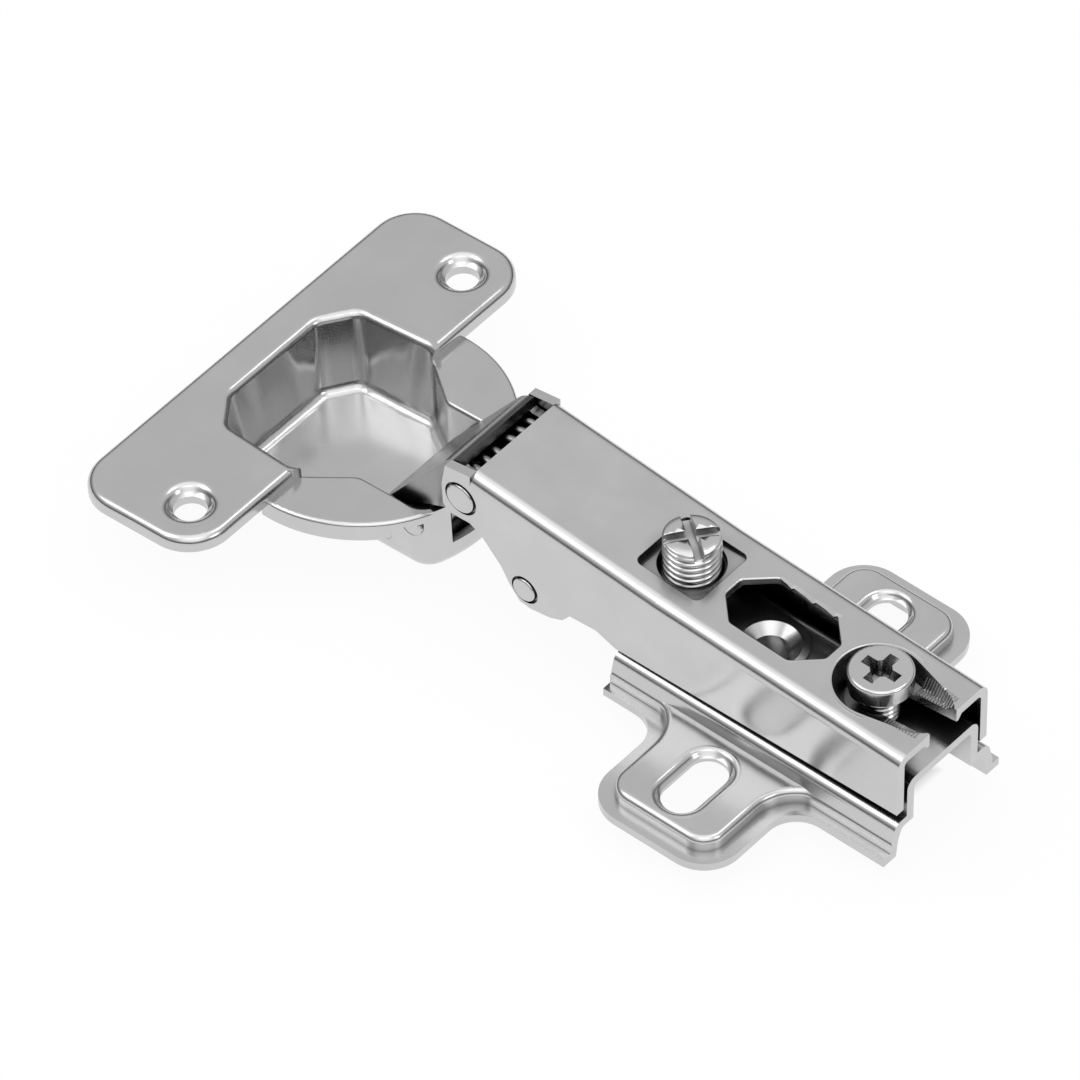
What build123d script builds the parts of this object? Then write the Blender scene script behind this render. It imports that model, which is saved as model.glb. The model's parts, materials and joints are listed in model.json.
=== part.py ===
from build123d import *
import os
from math import asin, atan2, cos, degrees, hypot, radians, sin, sqrt

# Concealed cup hinge, slide-on pattern, shown fully open, all in millimetres.
# Origin: centre of the mounting plate's two screw slots, on its underside.
# X runs along the arm from the cup to the arm's rear end, Y across, Z up from the cabinet wall.

# Sheet and running gaps
plate_sheet = 1.2
arm_sheet = 1.2
link_sheet = 1.15
cup_sheet = 1.1
pivot_gap = 0.05
seat_gap = 0.02
side_gap = 0.2
step_gap = 0.25

# Mounting plate
plate_front = -18.2
plate_length = 41.0
slot_spacing = 32.0
slot_width = 4.8
slot_length = 9.5
slot_sink = 1.1
ear_width = 19.0
ear_span = 49.6
ear_corner = 5.0
ear_root = 4.0
ear_height = 3.0
root_round = 2.5
lip_height = 1.1
lip_margin = 1.9
foot_half = 10.3
foot_margin = 1.2
foot_wall = 8.9
ledge_outer = 8.3
ledge_height = 5.2
web_half = 6.3
web_height = 10.7
web_bend = 1.4
centre_hole_x = -2.2
centre_hole_r = 2.25
centre_sink_r = 3.6
centre_rim_r = 4.5
centre_rim_height = 0.4
centre_hole_wall = 0.6

# Fixing screw at the rear
fix_x = 13.7
fix_shank_r = 2.0
fix_head_r = 3.85
fix_head_height = 3.0
fix_head_top = 18.0
fix_length = 11.5
cross_width = 1.35
cross_span = 4.9
cross_depth = 2.2

# Side adjusting screw in front
adjust_x = -13.8
adjust_r = 3.4
adjust_top = 20.7
adjust_foot_r = 2.8
adjust_foot_height = 1.0
adjust_neck_r = 1.8
adjust_slot_width = 1.1
adjust_slot_depth = 1.6

# Arm
arm_half = 8.0
arm_bend = 1.6
arm_front = -39.9
arm_front_top = 19.3
arm_knee_x = -12.9
arm_knee_top = 17.0
arm_rear = 22.7
arm_rear_top = 15.4
cheek_bottom = 5.7
recess_side = 9.3
recess_corner = 0.9
recess_floor = 16.45
neck_wall = 1.0
neck_depth = 2.6
window_front = -8.0
window_rear = 7.1
window_half = 4.7
window_corner = 3.2
fork_half = 2.4
fork_end = 9.8
dish_half = 5.65
dish_depth = 2.1
dish_rear = 19.6
dish_rear_half = 4.4
dish_rise = 6.5
dish_over = 0.4
lip_flat = 1.7
lip_end = 0.6
slide_back = 1.5

# Pivots, in the arm's side view
front_pivot = (-41.4, 14.7)
rear_pivot = (-31.9, 6.1)
front_rivet_r = 1.6
front_head_r = 2.0
rear_rivet_r = 1.4
rear_head_r = 1.62
rivet_head = 0.55
rivet_proud = 0.15
rivet_pocket = 0.3
pocket_shift = 0.15

# Cup, in its own frame: u towards the arm, v across, w up from the flange's top
cup_x = -62.2
cup_z = 9.25
cup_tilt = 3.5
cup_r = 17.45
cup_depth = 11.4
flange_length = 60.0
flange_back = 19.4
flange_corner = 5.5
flange_rim = 1.9
flange_edge = 1.0
opening_edge = 0.95
crescent_edge = 0.5
cup_hole_spacing = 48.0
cup_hole_offset = 6.0
cup_hole_r = 2.0
cup_sink_r = 3.55
cup_sink_drop = 1.0
back_half = 7.6
back_reach = 14.2
corner_reach = 11.2
corner_half = 11.7
side_half = 12.4
throat_start = -1.0
throat_reach = 5.2
throat_half = 7.75
wall_draft = 1.3
throat_draft = 0.6
corner_round = 2.2
floor_round = 1.3
lip_drop = 1.7
skirt_height = 2.4
front_cut_half = 5.0
front_cut_level = -7.7
notch_width = 1.5
notch_height = 1.2
notch_depth = 3.4
notches = [(12.7, 11.9, -3.9), (15.1, 8.9, -3.6)]
cup_pin_r = 1.4
cup_pin_proud = 0.85
roll_floor_gap = 0.35
pin_rise = 3.25
outer_pin = (9.1, cup_sheet + cup_pin_r + pivot_gap + link_sheet + roll_floor_gap - cup_depth)
inner_pin = (13.7, outer_pin[1] + pin_rise)

# Links and spring
link_roll_r = 4.45
link_roll_end = 107.0
cheek_r = 3.0
cheek_reach = 13.0
inner_link_half = 4.4
inner_link_sheet = 1.15
# Where the rear rivet goes in the inner link's eye as the hinge folds: along the strap and across it.
# The modelled linkage turns with constant ratios, so this eye is long where the real one is round.
eye_path = [(0, 0), (-1.4, 0), (-2.35, 0.45), (-2.62, 1), (-2.5, 1.3), (-2.2, 1.45), (-1.5, 1.4), (-0.7, 0.9)]
wire_r = 0.55
coil_turns = 2.25
coil_pitch = 1.75
coil_gap = 0.1
loop_half = 0.85
spring_end = 7.6
loop_gap = 0.1


def side_face(points):
    """A face in the side view, from (x, z) points."""
    return make_face(Plane.XZ * Polyline(*points, close=True))


def side_block(points, half):
    """A side-view outline carried to both sides of the middle plane."""
    return extrude(side_face(points), amount=half, both=True)


def cross_rod(x, z, radius, half):
    """A round bar across the hinge."""
    return Pos(x, 0, z) * Rot(90, 0, 0) * Cylinder(radius, 2 * half)


def upright(x, radius, low, high):
    """A round bar along Z on the middle plane."""
    return Pos(x, 0, (low + high) / 2) * Cylinder(radius, high - low)


def box_between(low, high):
    """A box from its lowest to its highest corner."""
    size = [b - a for a, b in zip(low, high)]
    middle = [(a + b) / 2 for a, b in zip(low, high)]
    return Pos(*middle) * Box(*size)


def near(a, b):
    return abs(a - b) < 0.01


def mirrored(points):
    """An outline that is the same on both sides of its first axis."""
    return list(points) + [(x, -y) for x, y in reversed(points)]


def mirrored_across(points):
    """An outline that is the same on both sides of its second axis."""
    return list(points) + [(-x, y) for x, y in reversed(points)]


def cross_recess(x, top, width, span, depth):
    """Two crossed keys, narrowing downwards, for a driver."""
    keys = Pos(x, 0, top - depth / 2) * Cone(width * 0.6, width * 0.95, depth)
    for turn in (0, 90):
        wide = Pos(x, 0, top) * Rot(0, 0, turn) * Rectangle(span, width)
        narrow = Pos(x, 0, top - depth) * Rot(0, 0, turn) * Rectangle(span * 0.55, width * 0.7)
        keys += loft([wide, narrow], ruled=True)
    return keys


# Mounting plate
plate_rear = plate_front + plate_length


def plate_outline():
    foot = Pos((plate_front + plate_rear) / 2, 0) * Rectangle(plate_length, 2 * foot_half)
    ears = RectangleRounded(ear_width, ear_span, ear_corner)
    outline = (foot + ears).face()
    roots = [v for v in outline.vertices() if near(abs(v.X), ear_width / 2) and near(abs(v.Y), foot_half)]
    return Sketch() + outline.fillet_2d(ear_root, roots)


def raised_outline(inset):
    """The plate's raised part: the ears' tables and the strip along the foot."""
    half = foot_half - foot_margin - inset
    strip = Pos((plate_front + plate_rear) / 2, 0) * Rectangle(plate_length, 2 * half)
    raised = (offset(plate_outline(), -lip_margin - inset) + strip).face()
    corners = [v for v in raised.vertices() if abs(v.X) < plate_length / 3 and abs(v.Y) < foot_half]
    return Sketch() + raised.fillet_2d(root_round, corners)


def channel_outline(step):
    """Half the plate's section, (y, z), set in by a step for the inside."""
    return [
        (foot_wall + 0.4 - step, 0),
        (foot_wall - step, 2.6),
        (ledge_outer - step, ledge_height - step),
        (web_half - step, ledge_height - step),
        (web_half - step, web_height - step),
    ]


def channel_body(step):
    face = make_face(Plane.YZ * Polyline(*mirrored_across(channel_outline(step)), close=True))
    body = Pos(plate_front, 0, 0) * extrude(face, amount=plate_length)
    bends = [(ledge_outer - step, ledge_height - step), (web_half - step, web_height - step)]
    edges = []
    for edge in body.edges().filter_by(Axis.X):
        middle = edge.center()
        if any(near(abs(middle.Y), y) and near(middle.Z, z) for y, z in bends):
            edges.append(edge)
    return fillet(edges, web_bend - step * 0.6)


def make_plate():
    outline = plate_outline()
    body = extrude(outline, amount=lip_height)
    body += extrude(raised_outline(0), amount=ear_height)
    top_edges = [e for e in body.edges() if abs(e.center().Z - ear_height) < 0.01]
    body = fillet(top_edges, 0.8)
    body += channel_body(0)
    body -= extrude(raised_outline(plate_sheet), amount=ear_height - plate_sheet)
    body -= channel_body(plate_sheet)
    for side in (-1, 1):
        slot = Pos(0, side * slot_spacing / 2) * Rot(0, 0, 90) * SlotOverall(slot_length, slot_width)
        body -= extrude(slot, amount=ear_height)
        wide = Pos(0, side * slot_spacing / 2, ear_height) * Rot(0, 0, 90)
        top = wide * SlotOverall(slot_length + 2 * slot_sink, slot_width + 2 * slot_sink)
        low = wide * Pos(0, 0, 0.5 - plate_sheet) * SlotOverall(slot_length, slot_width)
        body -= loft([top, low], ruled=True)
    body += upright(centre_hole_x, centre_rim_r, web_height - plate_sheet, web_height + centre_rim_height)
    sink_low = web_height - plate_sheet + centre_hole_wall
    sink_high = web_height + centre_rim_height
    body -= upright(centre_hole_x, centre_hole_r, 0, web_height + 1)
    sink = Cone(centre_hole_r, centre_sink_r, sink_high - sink_low)
    body -= Pos(centre_hole_x, 0, (sink_low + sink_high) / 2) * sink
    body += upright(fix_x, fix_shank_r + pivot_gap + 0.9, web_height - plate_sheet - 1.6, web_height - 0.1)
    body -= upright(fix_x, fix_shank_r + pivot_gap, 0, web_height + 1)
    slot_half = adjust_neck_r + 0.1
    slot_end = adjust_x + slide_back + step_gap
    keyway = box_between((plate_front - 1, -slot_half, web_height - 2), (slot_end, slot_half, web_height + 1))
    keyway += upright(slot_end, slot_half, web_height - 2, web_height + 1)
    return body - keyway


# Fixing screw
def make_fixing_screw():
    head_low = fix_head_top - fix_head_height
    head = upright(fix_x, fix_head_r, head_low, fix_head_top)
    rims = head.edges().filter_by(GeomType.CIRCLE)
    head = chamfer(rims.sort_by(Axis.Z)[0], 0.8)
    head = fillet(head.edges().filter_by(GeomType.CIRCLE).sort_by(Axis.Z)[-1], 0.4)
    shank = upright(fix_x, fix_shank_r, head_low - fix_length, head_low)
    neck = upright(fix_x, fix_shank_r + 0.6, head_low - 0.5, head_low)
    shank = chamfer(shank.edges().filter_by(GeomType.CIRCLE).sort_by(Axis.Z)[0], 0.5)
    return head + neck + shank - cross_recess(fix_x, fix_head_top, cross_width, cross_span, cross_depth)


# Side adjusting screw: threaded in the arm, its grooved foot hooked under the plate's web
def make_adjust_screw():
    groove_top = web_height + step_gap + 0.6
    foot_top = web_height - plate_sheet - 0.1
    body = upright(adjust_x, adjust_r, groove_top, adjust_top)
    body = chamfer(body.edges().filter_by(GeomType.CIRCLE), 0.45)
    body += upright(adjust_x, adjust_neck_r, foot_top, groove_top)
    foot = upright(adjust_x, adjust_foot_r, foot_top - adjust_foot_height, foot_top)
    body += chamfer(foot.edges().filter_by(GeomType.CIRCLE), 0.25)
    for turn, reach in ((60, 2 * adjust_r + 1), (150, adjust_r * 1.35)):
        slot = Box(reach, adjust_slot_width, 2 * adjust_slot_depth)
        body -= Pos(adjust_x, 0, adjust_top) * Rot(0, 0, turn) * slot
    return body


# Arm: a folded channel, its top falling towards the rear
def arm_top(x):
    if x < arm_knee_x:
        share = (x - arm_front) / (arm_knee_x - arm_front)
        return arm_front_top + share * (arm_knee_top - arm_front_top)
    share = (x - arm_knee_x) / (arm_rear - arm_knee_x)
    return arm_knee_top + share * (arm_rear_top - arm_knee_top)


def lobe_outline():
    """The side view of the lobes that stand out in front of the roof."""
    px, pz = front_pivot
    return [
        (arm_front, arm_front_top),
        (px - 2.2, arm_front_top - 0.6),
        (px - 2.7, pz + 0.8),
        (px - 2.5, pz - 2.2),
        (px - 1.7, pz - 3.2),
        (arm_front, pz - 3.0),
    ]


def arm_outline():
    """The side view of the folded channel behind them."""
    pz = front_pivot[1]
    qx, qz = rear_pivot
    return [
        (arm_front, arm_front_top),
        (arm_front, pz - 3.0),
        (arm_front + 1.9, pz - 4.1),
        (qx - 3.4, qz + 1.7),
        (qx - 2.1, qz - 0.4),
        (qx - 0.6, qz - 2.2),
        (qx + 1.0, qz - 2.4),
        (qx + 3.9, qz - 1.9),
        (qx + 5.7, qz - 1.1),
        (qx + 6.8, qz + 0.3),
        (qx + 10.7, qz + 0.6),
        (qx + 13.5, cheek_bottom),
        (arm_rear, cheek_bottom + 0.9),
        (arm_rear, arm_rear_top),
        (arm_knee_x, arm_knee_top),
    ]


def fold_edges(body, half):
    """The long top edges of a channel, where its roof folds down into its sides."""
    edges = []
    for edge in body.edges():
        middle = edge.center()
        along = abs((edge % 0.5).X) > 0.9
        if along and near(abs(middle.Y), half) and middle.Z > arm_top(middle.X) - 1.5 * arm_sheet:
            edges.append(edge)
    return edges


def arm_outside():
    body = side_block(arm_outline(), arm_half)
    return fillet(fold_edges(body, arm_half), arm_bend)


def arm_inside():
    half = arm_half - arm_sheet
    front = front_pivot[0] - arm_half
    rear = arm_rear + 1
    top = [(x, arm_top(x) - arm_sheet) for x in (rear, arm_knee_x, front)]
    body = side_block(top + [(front, 0), (rear, 0)], half)
    return fillet(fold_edges(body, half), arm_bend - 0.8 * arm_sheet)


def square_recess(grow):
    low = (adjust_x - recess_side / 2 - grow, -recess_side / 2 - grow, recess_floor - grow)
    high = (adjust_x + recess_side / 2 + grow, recess_side / 2 + grow, arm_front_top + 2)
    box = box_between(low, high)
    return fillet(box.edges().filter_by(Axis.Z), recess_corner + grow)


def dish(grow):
    """The sunk lips along the fork, round the screw and narrowing to the slot at the arm's rear end."""
    high = arm_top(fix_x) + dish_over
    low = arm_top(fix_x) - dish_depth - grow
    reach = dish_rear - fix_x
    wide = Circle(dish_half + grow).edges() + (Pos(reach, 0) * Circle(dish_rear_half + grow)).edges()
    narrow = Circle(fork_half + lip_flat + grow).edges()
    narrow += (Pos(reach, 0) * Circle(fork_half + lip_end + grow)).edges()
    top = Pos(fix_x, 0, high) * make_hull(wide)
    bottom = Pos(fix_x, 0, low) * Rot(0, -dish_rise, 0) * make_hull(narrow)
    return loft([top, bottom], ruled=True)


def window():
    width = window_rear - window_front
    face = Pos((window_front + window_rear) / 2, 0) * Rectangle(width, 2 * window_half)
    face = chamfer(face.vertices(), window_corner)
    face = fillet(face.vertices(), 1.0)
    return Pos(0, 0, arm_rear_top - 2) * extrude(face, amount=5)


def rivet_seats(pivot, shank_r, head_r):
    x, z = pivot
    seat = cross_rod(x, z, shank_r + seat_gap, arm_half + 1)
    for side in (-1, 1):
        depth = rivet_head - rivet_proud
        pocket = Rot(90, 0, 0) * Cylinder(head_r + rivet_pocket, depth)
        seat += Pos(x + pocket_shift, side * (arm_half - depth / 2), z + pocket_shift) * pocket
    return seat


def make_arm():
    body = arm_outside()
    body -= square_recess(0) + dish(0)
    hollow = arm_inside() - square_recess(arm_sheet) - dish(arm_sheet)
    body -= hollow
    lobes = side_block(lobe_outline(), arm_half)
    body += lobes - side_block(lobe_outline(), arm_half - arm_sheet)
    neck_r = adjust_r + pivot_gap + neck_wall
    body += upright(adjust_x, neck_r, recess_floor - neck_depth, recess_floor - 0.2)
    body -= upright(adjust_x, adjust_r + pivot_gap, 0, arm_front_top + 2)
    body -= Pos(adjust_x, 0, recess_floor - 0.3) * Cone(adjust_r, adjust_r + 0.7, 0.7)
    body -= window()
    slot_x = fork_end + fork_half
    slot = box_between((slot_x, -fork_half, web_height), (arm_rear + 2, fork_half, arm_rear_top + 2))
    slot += upright(slot_x, fork_half, web_height, arm_rear_top + 2)
    body -= slot
    body -= rivet_seats(front_pivot, front_rivet_r, front_head_r)
    body -= rivet_seats(rear_pivot, rear_rivet_r, rear_head_r)
    return body


def make_rivet(pivot, shank_r, head_r):
    x, z = pivot
    body = cross_rod(x, z, shank_r, arm_half - rivet_head + rivet_proud)
    for side in (-1, 1):
        middle = side * (arm_half + rivet_proud - rivet_head / 2)
        head = Pos(x, middle, z) * Rot(90, 0, 0) * Cylinder(head_r, rivet_head)
        outer = head.edges().filter_by(GeomType.CIRCLE).sort_by(Axis.Y)[-1 if side > 0 else 0]
        body += fillet(outer, 0.3)
    return body


# Cup: flange, drawn body and the two sickle-shaped lips are one pressing
def cup_place(part):
    return Location((cup_x, 0, cup_z), (0, -cup_tilt, 0)) * part


def cup_point(u, w):
    """A point of the cup's side view in the hinge's frame, as (x, z)."""
    c, s = cos(radians(cup_tilt)), sin(radians(cup_tilt))
    return (cup_x + u * c - w * s, cup_z + u * s + w * c)


def bowl(step):
    """The cup's drafted body; with a step, the hollow inside it."""
    reach = cup_r + 3
    top_wall = [
        (-back_reach, back_half),
        (-corner_reach, corner_half),
        (throat_start, side_half),
        (throat_reach, throat_half),
        (reach, throat_half),
    ]
    floor_wall = [
        (-back_reach + wall_draft * 0.9, back_half - wall_draft),
        (-corner_reach + wall_draft * 0.8, corner_half - wall_draft * 1.1),
        (throat_start + wall_draft * 1.4, side_half - wall_draft * 1.4),
        (throat_reach + 0.6, throat_half - throat_draft),
        (reach, throat_half - throat_draft),
    ]
    grow = cup_sheet - step
    floor = -cup_depth + step
    faces = []
    for level, wall in ((0, top_wall), (floor, floor_wall)):
        face = make_face(Polyline(*mirrored(wall), close=True))
        if grow > 0:
            face = offset(face, grow, kind=Kind.INTERSECTION)
        faces.append(Pos(0, 0, level) * face)
    body = loft(faces, ruled=True) & disc(cup_r - step, floor, -floor)
    uprights = [e for e in body.edges() if abs((e % 0.5).Z) > 0.7]
    body = fillet(uprights, corner_round + grow)
    rim = [e for e in body.edges() if near(e.center().Z, floor)]
    return fillet(rim, floor_round + grow)


def disc(radius, low, height):
    """An upright round plate from a level upwards, in the cup's frame."""
    return Pos(0, 0, low) * Cylinder(radius, height, align=(Align.CENTER, Align.CENTER, Align.MIN))


def rounded_plate(inset, low, height):
    """The flange's outline, set in, from a level upwards."""
    outline = RectangleRounded(flange_back - 2 * inset, flange_length - 2 * inset, flange_corner - inset)
    return Pos(-flange_back / 2, 0, low) * extrude(outline, amount=height)


def flare(level, radius, from_u):
    """What is cut off to round the edge of the cup's opening at a level, in front of a distance u."""
    beyond = cup_r + 1
    around = box_between((-flange_back, -beyond, level - 2 * radius), (beyond, beyond, level))
    plate = around - bowl(cup_sheet)
    edges = []
    for edge in plate.edges():
        middle = edge.center()
        if near(middle.Z, level) and hypot(middle.X, middle.Y) < cup_r - cup_sheet / 2:
            edges.append(edge)
    cut = around - fillet(edges, radius)
    return cut & box_between((from_u, -beyond, level - 2 * radius), (beyond, beyond, level))


def make_cup():
    flange = rounded_plate(0, -flange_rim, flange_rim)
    flange = fillet([e for e in flange.edges() if near(e.center().Z, 0)], flange_edge)
    body = flange - rounded_plate(cup_sheet, -flange_rim, flange_rim - cup_sheet)
    skirt_low = -lip_drop - skirt_height
    ring = disc(cup_r, skirt_low, skirt_height)
    ring = fillet(ring.edges().filter_by(GeomType.CIRCLE).sort_by(Axis.Z)[-1], 0.5)
    ring -= disc(cup_r - cup_sheet, skirt_low, skirt_height - cup_sheet)
    beyond = cup_r + 1
    body += ring & box_between((-cup_sheet, -beyond, -cup_depth), (beyond, beyond, 0))
    body += bowl(0) - box_between((0, -beyond, -lip_drop), (beyond, beyond, 1))
    body -= bowl(cup_sheet)
    body -= flare(0, opening_edge, -flange_back)
    body -= flare(-lip_drop, crescent_edge, 0)
    body -= box_between((throat_reach, -front_cut_half, front_cut_level), (beyond, front_cut_half, 1))
    for side in (-1, 1):
        place = Pos(-cup_hole_offset, side * cup_hole_spacing / 2, 0)
        body += place * disc(cup_hole_r + 1.0, -cup_sink_drop - cup_sheet, cup_sheet + 0.4)
        body -= place * Cylinder(cup_hole_r, 2 * cup_depth)
        body -= place * Pos(0, 0, -cup_sink_drop / 2) * Cone(cup_hole_r, cup_sink_r, cup_sink_drop)
        for u, v, w in notches:
            turn = side * degrees(atan2(v, u))
            body -= Rot(0, 0, turn) * Pos(hypot(u, v), 0, w) * Box(notch_depth, notch_width, notch_height)
    for u, w in (outer_pin, inner_pin):
        body -= Pos(u, 0, w) * Rot(90, 0, 0) * Cylinder(cup_pin_r + seat_gap, 2 * cup_r)
    return cup_place(body)


def make_cup_pin(at):
    x, z = cup_point(*at)
    pin = cross_rod(x, z, cup_pin_r, throat_half + cup_pin_proud)
    return chamfer(pin.edges().filter_by(GeomType.CIRCLE), 0.2)


# Outer link: a channel whose broad face runs down into the cup, rolled round both pivots
link_half = arm_half - arm_sheet - side_gap
low_roll_r = cup_pin_r + pivot_gap + link_sheet


def line_from(start, direction, along, across):
    """A point of the side view, by its place along and across a line."""
    dx, dz = direction
    return (start[0] + along * dx - across * dz, start[1] + along * dz + across * dx)


def round_point(centre, radius, angle):
    """A point of the side view on a circle, by its angle from X towards Z in degrees."""
    return (centre[0] + radius * cos(radians(angle)), centre[1] + radius * sin(radians(angle)))


def round_arc(centre, radius, start, end):
    turns = (start, (start + end) / 2, end)
    return ThreePointArc(*[round_point(centre, radius, turn) for turn in turns])


def common_tangent(low, high, low_r, high_r):
    """The direction and length of a straight run that touches two rolls on the same side."""
    span = hypot(high[0] - low[0], high[1] - low[1])
    chord = atan2(high[1] - low[1], high[0] - low[0])
    lean = asin((high_r - low_r) / span)
    return (cos(chord + lean), sin(chord + lean)), span * cos(lean)


def both_ways(sketch, half):
    """A side-view sketch carried to both sides of the middle plane."""
    return extrude(Plane.XZ * sketch, amount=half, both=True)


def make_outer_link():
    low = cup_point(*outer_pin)
    high = front_pivot
    along, length = common_tangent(low, high, low_roll_r, link_roll_r)
    normal = degrees(atan2(along[1], along[0])) + 90
    inner_r = link_roll_r - link_sheet
    inside = low_roll_r - link_sheet
    meets = sqrt(low_roll_r**2 - inside**2)
    eye_end = normal + 270 + degrees(atan2(inside, meets))
    outline = [
        round_arc(high, link_roll_r, link_roll_end, normal),
        Line(round_point(high, link_roll_r, normal), round_point(low, low_roll_r, normal)),
        round_arc(low, low_roll_r, normal, eye_end),
        Line(round_point(low, low_roll_r, eye_end), round_point(high, inner_r, normal)),
        round_arc(high, inner_r, normal, link_roll_end),
        Line(round_point(high, inner_r, link_roll_end), round_point(high, link_roll_r, link_roll_end)),
    ]
    body = both_ways(make_face(Wire(outline)), link_half)
    middle = link_roll_r - link_sheet / 2
    cheek = make_face(
        Polyline(
            line_from(high, along, -cheek_reach, middle),
            line_from(high, along, -cheek_reach / 2, 0.3),
            line_from(high, along, -1.0, -cheek_r * 0.9),
            line_from(high, along, 2.4, 0),
            line_from(high, along, 2.0, middle - 1.3),
            line_from(high, along, 0, middle),
            close=True,
        )
    )
    cheek += Pos(*high) * Circle(cheek_r)
    body += both_ways(cheek, link_half) - both_ways(cheek, link_half - link_sheet)
    body -= cross_rod(*low, cup_pin_r + pivot_gap, link_half + 1)
    return body - cross_rod(*high, front_rivet_r + pivot_gap, link_half + 1)


# Inner link: a narrower strap under the outer link, rolled round both pins
inner_low_r = cup_pin_r + pivot_gap + inner_link_sheet
inner_high_r = rear_rivet_r + pivot_gap + inner_link_sheet


def eye_outline(along, radius):
    """The inner link's long eye, or its outside, swept by a circle along the rivet's path."""
    circles = []
    for step, rise in eye_path:
        circles += (Pos(*line_from(rear_pivot, along, step, rise)) * Circle(radius)).edges()
    return make_hull(circles)


def inner_link_run():
    """The strap's direction from the cup's pin to the rear rivet, and its length."""
    return common_tangent(cup_point(*inner_pin), rear_pivot, inner_low_r, inner_high_r)


def make_inner_link():
    low = cup_point(*inner_pin)
    along, length = inner_link_run()
    strap = make_face(
        Polyline(
            line_from(low, along, 0, inner_low_r),
            line_from(low, along, length, inner_low_r),
            line_from(low, along, length, inner_low_r - inner_link_sheet),
            line_from(low, along, 0, inner_low_r - inner_link_sheet),
            close=True,
        )
    )
    outline = strap + Pos(*low) * Circle(inner_low_r) + eye_outline(along, inner_high_r)
    outline -= Pos(*low) * Circle(cup_pin_r + pivot_gap)
    outline -= eye_outline(along, rear_rivet_r + pivot_gap)
    return both_ways(outline, inner_link_half)


def inner_link_top(x):
    """The height of the inner link's upper face between its rolls."""
    along = inner_link_run()[0]
    start = line_from(cup_point(*inner_pin), along, 0, inner_low_r)
    return start[1] + (x - start[0]) * along[1] / along[0]


# Closing spring: one wire wound on the front rivet, a coil each side of the middle.
# Its middle loop bears on the inner link, and its two ends bear under the arm's roof.
def make_spring():
    x, z = front_pivot
    mean_r = front_rivet_r + coil_gap + wire_r
    rise = coil_turns * coil_pitch
    helix = Helix(coil_pitch, rise, mean_r)
    section = Plane(origin=helix @ 0, z_dir=helix % 0) * Circle(wire_r)
    coil = Pos(x, loop_half, z) * Rot(-90, 0, 0) * Rot(0, 0, 180) * sweep(section, path=helix)
    loop_x = x - mean_r
    loop_low = inner_link_top(loop_x) + loop_gap + wire_r
    half = coil
    down = z - loop_low - loop_half
    half += Pos(loop_x, loop_half, z - down / 2) * Cylinder(wire_r, down)
    half += Pos(loop_x, loop_half, z) * Sphere(wire_r)
    leg = Rot(0, 90, 0) * Cylinder(wire_r, spring_end)
    half += Pos(x + spring_end / 2, loop_half + rise, z + mean_r) * leg
    half += Pos(x, loop_half + rise, z + mean_r) * Sphere(wire_r)
    middle = loop_low + loop_half
    bend = ThreePointArc((loop_x, -loop_half, middle), (loop_x, 0, loop_low), (loop_x, loop_half, middle))
    loop = sweep(Plane(origin=bend @ 0, z_dir=bend % 0) * Circle(wire_r), path=bend)
    return half + loop + mirror(half, Plane.XZ)


nodes = {
    "mounting_plate": make_plate,
    "fixing_screw": make_fixing_screw,
    "side_adjust_screw": make_adjust_screw,
    "hinge_arm": make_arm,
    "front_rivet": lambda: make_rivet(front_pivot, front_rivet_r, front_head_r),
    "rear_rivet": lambda: make_rivet(rear_pivot, rear_rivet_r, rear_head_r),
    "outer_link": make_outer_link,
    "inner_link": make_inner_link,
    "hinge_cup": make_cup,
    "outer_cup_pin": lambda: make_cup_pin(outer_pin),
    "inner_cup_pin": lambda: make_cup_pin(inner_pin),
    "closing_spring": make_spring,
}

os.makedirs("parts", exist_ok=True)
for name, make in nodes.items():
    export_step(make(), "parts/" + name + ".step")
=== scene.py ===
import json
import math

import bpy
from mathutils import Matrix, Vector
from mathutils.bvhtree import BVHTree


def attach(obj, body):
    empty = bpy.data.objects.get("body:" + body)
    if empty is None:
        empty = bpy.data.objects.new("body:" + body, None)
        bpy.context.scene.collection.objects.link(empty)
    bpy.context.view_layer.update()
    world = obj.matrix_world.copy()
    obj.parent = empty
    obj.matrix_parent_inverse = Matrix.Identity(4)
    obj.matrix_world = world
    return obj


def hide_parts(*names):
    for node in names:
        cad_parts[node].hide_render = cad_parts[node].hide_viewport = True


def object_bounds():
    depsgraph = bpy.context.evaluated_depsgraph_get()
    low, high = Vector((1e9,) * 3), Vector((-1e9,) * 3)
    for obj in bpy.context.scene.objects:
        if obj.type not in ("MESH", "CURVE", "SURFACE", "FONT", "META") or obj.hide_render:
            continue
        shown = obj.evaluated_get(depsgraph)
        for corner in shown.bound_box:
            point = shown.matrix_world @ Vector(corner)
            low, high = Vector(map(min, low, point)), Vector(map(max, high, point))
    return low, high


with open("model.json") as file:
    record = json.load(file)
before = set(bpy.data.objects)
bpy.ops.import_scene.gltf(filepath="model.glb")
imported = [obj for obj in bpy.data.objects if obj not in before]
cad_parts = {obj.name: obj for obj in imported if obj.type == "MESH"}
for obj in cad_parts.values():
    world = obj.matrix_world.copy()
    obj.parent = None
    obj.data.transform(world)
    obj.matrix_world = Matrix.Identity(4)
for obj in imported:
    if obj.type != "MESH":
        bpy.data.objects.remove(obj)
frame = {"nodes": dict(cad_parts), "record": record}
cad_low, cad_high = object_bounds()
MM = 0.001


# Node trees
def node_tree(material):
    material.use_nodes = True
    tree = material.node_tree
    tree.nodes.clear()
    return tree


def add(tree, kind, **values):
    """Adds a node, sets its plain properties, and its inputs by name or number."""
    node = tree.nodes.new(kind)
    for key, value in values.items():
        if key == "inputs":
            for name, given in value.items():
                node.inputs[name].default_value = given
        else:
            setattr(node, key, value)
    return node


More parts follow.
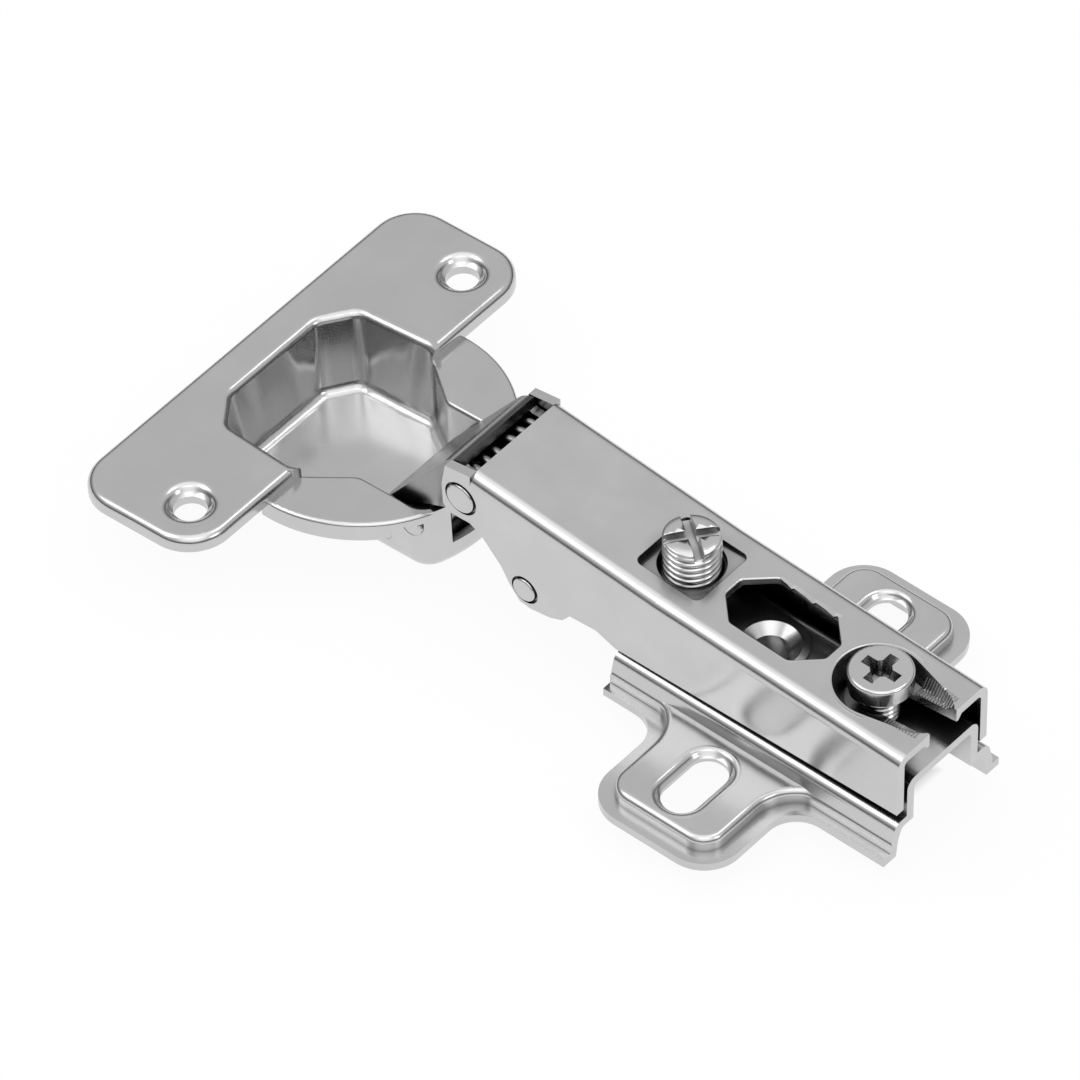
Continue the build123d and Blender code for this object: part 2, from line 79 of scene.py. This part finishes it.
def noise(tree, coords, scale, stretch=(1, 1, 1), detail=3.0, rough=0.55):
    mapping = add(tree, "ShaderNodeMapping", inputs={"Scale": stretch})
    texture = add(tree, "ShaderNodeTexNoise", inputs={"Scale": scale, "Detail": detail, "Roughness": rough})
    tree.links.new(coords, mapping.inputs["Vector"])
    tree.links.new(mapping.outputs["Vector"], texture.inputs["Vector"])
    return texture.outputs["Fac"]


def remap(tree, value, low, high, start=0.0, end=1.0, blend="LINEAR"):
    node = add(tree, "ShaderNodeMapRange", interpolation_type=blend,
               inputs={"From Min": start, "From Max": end, "To Min": low, "To Max": high})
    tree.links.new(value, node.inputs["Value"])
    return node.outputs["Result"]


CLOUD_SIZE, WAVE_SIZE = 130.0, 170.0
PAINTED_SHADE_RAMP = 0.56


def plated(name, colour, rough, wave=0.05, streak=(1, 1, 1), streak_size=600.0, streak_depth=0.0,
           streak_detail=2.0, flat_streak=1.0, painted_shade=0.8, reach=2.4, open_sky=0.68):
    """Nickel plate over steel: soft pressing waves, drawing streaks along one direction, and painted shade that
    darkens the colour in crevices.
    Depths and reach are in millimetres."""
    material = bpy.data.materials.new(name)
    tree = node_tree(material)
    link = tree.links.new
    coords = add(tree, "ShaderNodeTexCoord").outputs["Object"]
    cloud = noise(tree, coords, CLOUD_SIZE, detail=3.0)
    waves = noise(tree, coords, WAVE_SIZE, detail=1.0, rough=0.4)
    lines = noise(tree, coords, streak_size, stretch=streak, detail=streak_detail)

    # Painted shade: the base colour is darkened where ambient occlusion finds other surfaces within reach.
    shade = add(tree, "ShaderNodeAmbientOcclusion", samples=16, inputs={"Distance": reach * MM})
    painted_crevice_shade = remap(tree, shade.outputs["AO"], 1.0 - painted_shade, 1.0, open_sky - PAINTED_SHADE_RAMP, open_sky)
    mottle_and_painted_shade = add(tree, "ShaderNodeMath", operation="MULTIPLY")
    link(remap(tree, cloud, 0.965, 1.035, 0.3, 0.7), mottle_and_painted_shade.inputs[0])
    link(painted_crevice_shade, mottle_and_painted_shade.inputs[1])
    tint = add(tree, "ShaderNodeMix", data_type="RGBA", blend_type="MULTIPLY", inputs={"Factor": 1.0})
    tint.inputs["A"].default_value = (*colour, 1.0)
    link(mottle_and_painted_shade.outputs[0], tint.inputs["B"])

    broad = add(tree, "ShaderNodeBump", inputs={"Strength": 1.0, "Distance": wave * MM})
    link(waves, broad.inputs["Height"])
    bump = add(tree, "ShaderNodeBump", inputs={"Distance": streak_depth * MM})
    link(lines, bump.inputs["Height"])
    facing = add(tree, "ShaderNodeSeparateXYZ")
    link(add(tree, "ShaderNodeNewGeometry").outputs["True Normal"], facing.inputs[0])
    level = add(tree, "ShaderNodeMath", operation="ABSOLUTE")
    link(facing.outputs["Z"], level.inputs[0])
    link(remap(tree, level.outputs[0], 1.0, flat_streak, 0.2, 0.8), bump.inputs["Strength"])
    link(broad.outputs["Normal"], bump.inputs["Normal"])

    shader = add(tree, "ShaderNodeBsdfPrincipled", inputs={"Metallic": 1.0})
    link(tint.outputs["Result"], shader.inputs["Base Color"])
    link(remap(tree, cloud, rough - 0.02, rough + 0.02, 0.3, 0.7), shader.inputs["Roughness"])
    link(bump.outputs["Normal"], shader.inputs["Normal"])
    output = add(tree, "ShaderNodeOutputMaterial")
    link(shader.outputs["BSDF"], output.inputs["Surface"])
    return material


NICKEL = (0.575, 0.575, 0.575)
looks = {
    "arm_steel": plated("arm_plate", NICKEL, 0.22, wave=0.04, streak=(0.06, 1, 1), streak_depth=0.004,
                        reach=5.5, open_sky=0.88),
    "plate_steel": plated("wing_plate", NICKEL, 0.23, wave=0.07, streak=(0.06, 1, 1), streak_depth=0.004,
                          painted_shade=0.85, reach=5.5),
    "cup_steel": plated("cup_plate", NICKEL, 0.20, wave=0.06, streak=(1, 1, 0.12), streak_size=210.0,
                        streak_depth=0.75, streak_detail=0.5, flat_streak=0.012, painted_shade=0.1, reach=1.6),
    # The link's colour is a darker copy of the nickel: painted shade for the gap under the arm where it sits.
    "link_steel": plated("link_plate_painted_shade", (0.29, 0.29, 0.29), 0.22, wave=0.04, streak=(1, 0.06, 1), streak_depth=0.01),
    "rivet_steel": plated("rivet_plate", NICKEL, 0.24, wave=0.05, streak_depth=0.01, streak_size=900.0),
    "screw_steel": plated("screw_plate", (0.60, 0.60, 0.60), 0.18, wave=0.03, streak_depth=0.004,
                          streak_size=1200.0, painted_shade=0.85, reach=2.0),
    # The spring's colour is a darker copy of the nickel: painted shade for the dark gap round its coils.
    "spring_steel": plated("spring_plate_painted_shade", (0.28, 0.28, 0.28), 0.26, wave=0.02, painted_shade=0.9, reach=3.5),
}
# Raw punched edges: rougher than the plate, and darkened far below it as painted shade for the inside of the
# window.
punched_edge_painted_shade = plated("punched_edge_painted_shade", (0.16, 0.16, 0.16), 0.42, wave=0.02, streak=(1, 1, 0.1), streak_depth=0.02)
# The hole and slot shoulders: nickel with strong painted shade, darkened everywhere except where the sky is almost
# fully open.
sink_shoulder_painted_shade = plated("sink_shoulder_painted_shade", NICKEL, 0.20, wave=0.05, streak_depth=0.004, painted_shade=0.9, reach=1.5, open_sky=0.96)
for part in frame["record"]["subparts"]:
    piece = frame["nodes"][part["node"]]
    for place in piece.material_slots:
        place.material = looks[part["material_slot"]]


# Pieces that only the scene has: threads, ridges, shoulders, rims, a neck and a burr
ROWS_PER_TURN = 8


def new_piece(name, verts, faces, slot, body, smooth=True, look=None):
    """A mesh given in millimetres, finished like a material slot, that rides on a body."""
    mesh = bpy.data.meshes.new(name)
    mesh.from_pydata([tuple(c * MM for c in v) for v in verts], [], faces)
    mesh.validate()
    mesh.update()
    mesh.materials.append(look or looks[slot])
    piece = bpy.data.objects.new(name, mesh)
    bpy.context.scene.collection.objects.link(piece)
    if smooth:
        mesh.shade_smooth()
    if body:
        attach(piece, body)
    return piece


def band_faces(rows, count, closed=True, turned=False):
    """The four-sided faces between the rows of a band, each row of count points."""
    faces = []
    for j in range(rows - 1):
        for k in range(count if closed else count - 1):
            a, b = j * count + k, j * count + (k + 1) % count
            faces.append((a, a + count, b + count, b) if turned else (a, b, b + count, a + count))
    return faces


def threaded_post(at, profile, thread, crest, root, pitch, steps=72):
    """A turned post about Z: its plain (radius, height) profile, cut by a thread between two heights."""
    low, high = thread
    rows = [(height, radius, False) for radius, height in profile]
    count = int(round((high - low) / (pitch / ROWS_PER_TURN)))
    rows += [(low + k * (high - low) / count, crest, True) for k in range(count + 1)]
    rows.sort(key=lambda row: row[0])
    verts = []
    for height, radius, cut in rows:
        for k in range(steps):
            share = k / steps
            r = radius
            if cut:
                place = ((height - low) / pitch - share) % 1.0
                groove = 1.0 - abs(2.0 * place - 1.0)
                fade = min(1.0, (height - low) / pitch, 2.0 * (high - height) / pitch)
                r = crest - (crest - root) * min(1.0, max(0.0, 1.5 * groove - 0.35)) * max(0.0, fade)
            a = 2 * math.pi * share
            verts.append((at[0] + r * math.cos(a), at[1] + r * math.sin(a), height))
    faces = band_faces(len(rows), steps)
    faces.append(tuple(reversed(range(steps))))
    faces.append(tuple(range((len(rows) - 1) * steps, len(rows) * steps)))
    return verts, faces


def solid(verts, faces):
    """A loose cutter from points in millimetres."""
    mesh = bpy.data.meshes.new("cutter")
    mesh.from_pydata([tuple(c * MM for c in v) for v in verts], [], faces)
    cutter = bpy.data.objects.new("cutter", mesh)
    bpy.context.scene.collection.objects.link(cutter)
    return cutter


def cut_away(piece, cutters):
    """Takes the cutters out of a piece and deletes them."""
    for cutter in cutters:
        change = piece.modifiers.new("cut", "BOOLEAN")
        change.operation = "DIFFERENCE"
        change.solver = "EXACT"
        change.object = cutter
    bpy.context.view_layer.update()
    shape = bpy.data.meshes.new_from_object(piece.evaluated_get(bpy.context.evaluated_depsgraph_get()))
    piece.modifiers.clear()
    piece.data = shape
    for cutter in cutters:
        bpy.data.objects.remove(cutter)


def wedge(at, angle, length, width, depth, floor_width):
    """A driver slot's cutter: a bar across the top, narrower below, in millimetres."""
    x, y, top = at
    c, s = math.cos(math.radians(angle)), math.sin(math.radians(angle))
    verts = []
    for z, w in ((top + 0.6, width), (top - depth, floor_width)):
        for along, side in ((-1, -1), (1, -1), (1, 1), (-1, 1)):
            u, v = along * length / 2, side * w / 2
            verts.append((x + u * c - v * s, y + u * s + v * c, z))
    return solid(verts, [(0, 1, 2, 3), (7, 6, 5, 4), (0, 4, 5, 1), (1, 5, 6, 2), (2, 6, 7, 3), (3, 7, 4, 0)])


# The side adjusting screw, with its thread, domed top and worn slots
ADJUST, ADJUST_TOP = (-13.8, 0.0), 21.2
profile = [
    (0.01, 8.4), (2.55, 8.4), (2.8, 8.65), (2.8, 9.15), (2.55, 9.4), (1.8, 9.4), (1.8, 11.55), (2.95, 11.55),
    (3.4, 12.0), (3.4, 13.2), (3.34, 20.86), (3.2, 21.0), (2.8, 21.12), (2.1, 21.18), (0.01, ADJUST_TOP),
]
verts, faces = threaded_post(ADJUST, profile, (13.4, 20.9), 3.42, 2.9, 0.875)
adjuster = new_piece("side_adjust_thread", verts, faces, "screw_steel", None)
cut_away(adjuster, [
    wedge((*ADJUST, ADJUST_TOP), 52, 7.4, 1.5, 0.95, 1.1),
    wedge((*ADJUST, ADJUST_TOP), 144, 7.4, 1.35, 1.3, 1.0),
])
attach(adjuster, "side_adjust_screw")
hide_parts("side_adjust_screw")

# The fixing screw's thread under its head, without end caps
FIXING = (13.7, 0.0)
verts, faces = threaded_post(FIXING, [(2.0, 11.0), (2.0, 14.6)], (11.15, 14.45), 2.3, 2.02, 0.7, 48)
new_piece("fixing_screw_thread", verts, faces[:-2], "screw_steel", "fixing_screw")


trees = {}


def surface_point(node, x, y, from_z):
    """The height in millimetres of a CAD node's skin below a point, or None."""
    tree = trees.get(node)
    if tree is None:
        shape = frame["nodes"][node].data
        tree = BVHTree.FromPolygons([v.co for v in shape.vertices], [tuple(f.vertices) for f in shape.polygons])
        trees[node] = tree
    hit = tree.ray_cast(Vector((x, y, from_z)) * MM, Vector((0, 0, -1)))[0]
    return None if hit is None else hit.z / MM


def knurl(name, side):
    """The pressed ridges along the sunk lip, which keep the fixing screw from slipping."""
    first, last, spacing = 16.9, 22.0, 0.4
    inner, widest, taper = 2.5, 4.35, 0.09
    half_ridge, rise, sunk, spans = 0.13, 0.13, 0.01, 7
    above_arm, lowest_lip = 19.0, 12.0
    verts, faces = [], []
    x = first
    while x < last:
        outer = widest - taper * (x - first)
        ys = [inner + k * (outer - inner) / spans for k in range(spans + 1)]
        heights = [surface_point("hinge_arm", x, side * y, above_arm) for y in ys]
        if None not in heights and min(heights) > lowest_lip:
            base = len(verts)
            for y, z in zip(ys, heights):
                for along, lift in ((-half_ridge, 0.0), (0.0, rise), (half_ridge, 0.0)):
                    verts.append((x + along, side * y, z + lift - sunk))
            for k in range(spans):
                a = base + 3 * k
                faces += [(a, a + 1, a + 4, a + 3), (a + 1, a + 2, a + 5, a + 4)]
        x += spacing
    new_piece(name, verts, faces, "arm_steel", "arm", smooth=False)


knurl("lip_ridges_near", -1)
knurl("lip_ridges_far", 1)


def ring(name, at, profile, slot, body, steps=48):
    """A turned skin about Z from (radius, height) points."""
    verts = []
    for radius, height in profile:
        for k in range(steps):
            a = math.radians(360 * k / steps)
            verts.append((at[0] + radius * math.cos(a), at[1] + radius * math.sin(a), height))
    new_piece(name, verts, band_faces(len(profile), steps), slot, body)


# A guessed neck drawn down from the plate's centre hole, which keeps daylight out of it
CENTRE_HOLE = (-2.2, 0.0)
ring("centre_hole_neck", CENTRE_HOLE, [(2.85, 9.6), (2.75, 5.6), (2.6, 5.3), (2.35, 5.3), (2.28, 5.6), (2.28, 9.6)],
     "plate_steel", "plate")


# The soft shoulders of the cup's two screw holes, over the sharper sinks of the solid, darkened with painted shade
CUP_TILT = math.radians(3.5)
CUP_X, CUP_Z = -62.2, 9.25
CUP_HOLES_BEHIND, CUP_HOLES_OUT = 6.0, 24.0


def cup_place(u, v, w):
    """A point of the cup's own frame, whose origin is on the flange above the cup's axis."""
    c, s = math.cos(CUP_TILT), math.sin(CUP_TILT)
    return (CUP_X + u * c - w * s, v, CUP_Z + u * s + w * c)


def hole_shoulder(name, side):
    """The soft shoulder round one of the cup's screw holes."""
    profile = [(3.95, 0.005), (3.72, 0.02), (3.48, 0.01), (3.25, -0.04), (3.02, -0.13),
               (2.84, -0.25), (2.7, -0.40), (2.58, -0.58), (2.48, -0.68), (2.2, -0.865)]
    steps = 64
    verts = []
    for radius, depth in profile:
        for k in range(steps):
            a = 2 * math.pi * k / steps
            u = -CUP_HOLES_BEHIND + radius * math.cos(a)
            verts.append(cup_place(u, side * CUP_HOLES_OUT + radius * math.sin(a), depth))
    new_piece(name, verts, band_faces(len(profile), steps, turned=True), "cup_steel", "cup", look=sink_shoulder_painted_shade)


hole_shoulder("screw_hole_shoulder_near", -1)
hole_shoulder("screw_hole_shoulder_far", 1)


WING_TOP, SLOTS_OUT = 3.0, 16.0


def slot_shoulder(name, side):
    """The soft shoulder round one of the wings' slots, whose straight sides run along Y."""
    profile = [(1.35, 0.0), (1.15, 0.025), (0.95, 0.01), (0.78, -0.06),
               (0.62, -0.17), (0.5, -0.30), (0.4, -0.43), (0.1, -0.63)]
    half_straight, radius, steps = 2.35, 2.4, 24
    verts = []
    for out, depth in profile:
        for turn, end in ((0, 1), (180, -1)):
            for k in range(steps + 1):
                a = math.radians(turn + 180 * k / steps)
                reach = radius + out
                y = side * SLOTS_OUT + end * half_straight + reach * math.sin(a)
                verts.append((reach * math.cos(a), y, WING_TOP + depth))
    faces = band_faces(len(profile), 2 * (steps + 1), turned=True)
    new_piece(name, verts, faces, "plate_steel", "plate", look=sink_shoulder_painted_shade)


slot_shoulder("slot_shoulder_near", -1)
slot_shoulder("slot_shoulder_far", 1)


# The window: its outline with rounded corners, a bright rolled rim, the punched edge (rough raw steel, darkened
# further with painted shade) and the burr
BEND_X, BEND_Z, REAR_SLOPE = -12.9, 16.98, 0.045
WINDOW_FRONT, WINDOW_REAR, WINDOW_HALF, WINDOW_CORNER = -8.0, 7.1, 4.7, 3.2
CORNER_SHARE, CORNER_ROUND = 0.59, 0.42


def arm_rear_height(x):
    """The height of the arm's top behind its bend, where it falls to the rear."""
    return BEND_Z - REAR_SLOPE * (x - BEND_X)


def window_outline(inset):
    """The window's outline, drawn in by a distance."""
    low, high = WINDOW_FRONT + inset, WINDOW_REAR - inset
    half, corner = WINDOW_HALF - inset, WINDOW_CORNER - CORNER_SHARE * inset
    corners = [
        (low, -half + corner), (low + corner, -half), (high - corner, -half), (high, -half + corner),
        (high, half - corner), (high - corner, half), (low + corner, half), (low, half - corner),
    ]
    points = []
    for k, here in enumerate(corners):
        before, after = Vector(corners[k - 1]), Vector(corners[(k + 1) % 8])
        here = Vector(here)
        start = here + (before - here).normalized() * CORNER_ROUND
        end = here + (after - here).normalized() * CORNER_ROUND
        for t in (0.0, 0.25, 0.5, 0.75, 1.0):
            points.append(start * (1 - t) ** 2 + here * 2 * t * (1 - t) + end * t ** 2)
    return points


def window_strip(name, rows, look=None):
    """A strip round the window from (inset, height over the arm's top) rows."""
    verts = []
    for inset, lift in rows:
        for x, y in window_outline(inset):
            verts.append((x, y, arm_rear_height(x) + lift))
    faces = band_faces(len(rows), len(window_outline(0)))
    new_piece(name, verts, faces, "arm_steel", "arm", look=look)


window_strip("window_rim", [(-0.08, -0.005), (0.0, 0.02), (0.14, 0.02), (0.26, -0.06), (0.30, -0.22)])
window_strip("window_punched_edge", [(0.29, -0.2), (0.1, -0.5), (0.04, -1.15)], look=punched_edge_painted_shade)


def dish_rim():
    """The rolled rim where the arm's top sinks round the fixing screw."""
    profile = [(6.05, -0.005), (5.9, 0.03), (5.7, 0.03), (5.55, -0.05), (5.45, -0.2)]
    first_angle, sweep, steps = 72, 216, 40
    verts = []
    for radius, lift in profile:
        for k in range(steps + 1):
            a = math.radians(first_angle + sweep * k / steps)
            x = FIXING[0] + radius * math.cos(a)
            verts.append((x, radius * math.sin(a), arm_rear_height(x) + lift))
    new_piece("dish_rim", verts, band_faces(len(profile), steps + 1, closed=False), "arm_steel", "arm")


dish_rim()


def window_burr():
    """The stepped burr that the punch leaves along the window's far edge."""
    steps = [(-4.6, 0.25), (-3.4, 0.40), (-2.6, 0.62), (-2.5, 0.36), (-1.0, 0.44), (0.6, 0.70),
             (0.75, 0.38), (2.2, 0.46), (3.6, 0.68), (3.75, 0.36), (4.4, 0.3)]
    root, edge = 4.78, 4.68
    verts, faces = [], []
    for x, reach in steps:
        top, tip = arm_rear_height(x), edge - reach
        verts += [(x, root, top + 0.07), (x, tip, top + 0.03), (x, tip, top - 0.25), (x, root, top - 0.4)]
    for k in range(len(steps) - 1):
        a = 4 * k
        faces += [(a, a + 1, a + 5, a + 4), (a + 1, a + 2, a + 6, a + 5), (a + 2, a + 3, a + 7, a + 6)]
    new_piece("window_burr", verts, faces, "arm_steel", "arm", smooth=False)


window_burr()


# Floor, light and camera
FLOOR_SIZE, FLOOR_GAP = 6.0, 0.2
FLOOR_GLOW = 0.94
# Painted shadow: a fixed patch under the channel where the floor's glow is held back.
SHADOW_PATCH_HALF_X, SHADOW_PATCH_HALF_Y, SHADOW_PATCH_FADE = 14.0, 5.0, 3.0
WALL_LOW, WALL_HIGH = 0.10, 0.74
BRIGHT = 1.9


def floor_material():
    """White to the camera and in the metal. The glow is held back in a patch under the plate's channel, a painted
    shadow: there the floor shows its real lit shade.
    """
    material = bpy.data.materials.new("pale_floor")
    tree = node_tree(material)
    link = tree.links.new
    path = add(tree, "ShaderNodeLightPath")
    seen = add(tree, "ShaderNodeMath", operation="MAXIMUM")
    link(path.outputs["Is Camera Ray"], seen.inputs[0])
    link(path.outputs["Is Glossy Ray"], seen.inputs[1])
    place = add(tree, "ShaderNodeSeparateXYZ")
    link(add(tree, "ShaderNodeTexCoord").outputs["Object"], place.inputs[0])
    glow_outside_shadow_patch = add(tree, "ShaderNodeMath", operation="MAXIMUM")
    for number, (axis, edge) in enumerate((("X", SHADOW_PATCH_HALF_X), ("Y", SHADOW_PATCH_HALF_Y))):
        away = add(tree, "ShaderNodeMath", operation="ABSOLUTE")
        link(place.outputs[axis], away.inputs[0])
        glow = remap(tree, away.outputs[0], 0.0, FLOOR_GLOW, edge * MM, (edge + SHADOW_PATCH_FADE) * MM)
        link(glow, glow_outside_shadow_patch.inputs[number])
    share = add(tree, "ShaderNodeMath", operation="MULTIPLY")
    link(glow_outside_shadow_patch.outputs[0], share.inputs[1])
    link(seen.outputs[0], share.inputs[0])
    dull = add(tree, "ShaderNodeBsdfDiffuse", inputs={"Color": (0.9, 0.9, 0.9, 1)})
    white = add(tree, "ShaderNodeEmission", inputs={"Color": (1, 1, 1, 1), "Strength": 1.0})
    mix = add(tree, "ShaderNodeMixShader")
    link(share.outputs[0], mix.inputs["Fac"])
    link(dull.outputs[0], mix.inputs[1])
    link(white.outputs[0], mix.inputs[2])
    output = add(tree, "ShaderNodeOutputMaterial")
    link(mix.outputs[0], output.inputs["Surface"])
    return material


bpy.ops.mesh.primitive_plane_add(size=FLOOR_SIZE, location=(0, 0, cad_low[2] - FLOOR_GAP * MM))
floor = bpy.context.object
floor.name = "floor"
floor.data.materials.append(floor_material())

AZIMUTH, ELEVATION = math.radians(40.06), math.radians(46.6)
back = Vector((
    math.sin(AZIMUTH) * math.cos(ELEVATION),
    -math.cos(AZIMUTH) * math.cos(ELEVATION),
    math.sin(ELEVATION),
))


def studio_world():
    """A grey room with a brighter ceiling and a bright place behind the photographer."""
    world = bpy.data.worlds.new("studio")
    bpy.context.scene.world = world
    tree = node_tree(world)
    link = tree.links.new
    path = add(tree, "ShaderNodeLightPath")
    direction = add(tree, "ShaderNodeTexCoord").outputs["Generated"]
    height = add(tree, "ShaderNodeSeparateXYZ")
    link(direction, height.inputs[0])
    walls = remap(tree, height.outputs["Z"], WALL_LOW, WALL_HIGH, 0.12, 0.60, "SMOOTHSTEP")
    ceiling = remap(tree, height.outputs["Z"], 1.0, BRIGHT, 0.82, 0.95, "SMOOTHSTEP")
    front = add(tree, "ShaderNodeVectorMath", operation="DOT_PRODUCT", inputs={1: back})
    link(direction, front.inputs[0])
    front = remap(tree, front.outputs["Value"], 1.0, BRIGHT, 0.82, 0.97, "SMOOTHSTEP")
    room = walls
    for share in (ceiling, front):
        product = add(tree, "ShaderNodeMath", operation="MULTIPLY")
        link(room, product.inputs[0])
        link(share, product.inputs[1])
        room = product.outputs[0]
    studio = add(tree, "ShaderNodeBackground", inputs={"Color": (1, 1, 1, 1)})
    link(room, studio.inputs["Strength"])
    paper = add(tree, "ShaderNodeBackground", inputs={"Color": (1, 1, 1, 1), "Strength": 1.0})
    mix = add(tree, "ShaderNodeMixShader")
    link(path.outputs["Is Camera Ray"], mix.inputs["Fac"])
    link(studio.outputs[0], mix.inputs[1])
    link(paper.outputs[0], mix.inputs[2])
    output = add(tree, "ShaderNodeOutputWorld")
    link(mix.outputs[0], output.inputs["Surface"])


studio_world()


def softbox(name, azimuth, elevation, distance, width, height, power, target=(-0.02, 0, 0.01)):
    """A rectangular area lamp that looks at the hinge from a direction given in degrees."""
    a, e = math.radians(azimuth), math.radians(elevation)
    away = Vector((math.sin(a) * math.cos(e), -math.cos(a) * math.cos(e), math.sin(e)))
    lamp = bpy.data.lights.new(name, "AREA")
    lamp.shape = "RECTANGLE"
    lamp.size = width
    lamp.size_y = height
    lamp.energy = power
    holder = bpy.data.objects.new(name, lamp)
    holder.location = Vector(target) + away * distance
    holder.rotation_euler = away.to_track_quat("Z", "Y").to_euler()
    bpy.context.scene.collection.objects.link(holder)


softbox("front", -50, 52, 1.0, 0.60, 0.50, 1.5)
softbox("rear", 168, 64, 1.0, 0.26, 0.26, 0.55)
softbox("right", 95, 34, 1.0, 0.30, 0.40, 0.8)

# Camera: a long lens at the photograph's angle, aimed so that the hinge sits as it does there
LENS_MM, SENSOR_MM = 500.0, 36.0
DISTANCE = 1700 * MM
FIT_SHIFT = Vector((-2.9, 0, 0)) * MM
RIGHT_SHIFT, UP_SHIFT = -25.5 * MM, 19.0 * MM
right = Vector((math.cos(AZIMUTH), math.sin(AZIMUTH), 0))
up = back.cross(right)
camera = bpy.data.objects.new("camera", bpy.data.cameras.new("camera"))
camera.data.lens = LENS_MM
camera.data.sensor_width = SENSOR_MM
camera.data.clip_end = 20.0
turn = Matrix((right, up, back)).transposed()
camera.matrix_world = Matrix.Translation(
    FIT_SHIFT + back * DISTANCE + right * RIGHT_SHIFT + up * UP_SHIFT
) @ turn.to_4x4()
bpy.context.scene.collection.objects.link(camera)
bpy.context.scene.camera = camera
bpy.context.scene.view_settings.view_transform = "Standard"
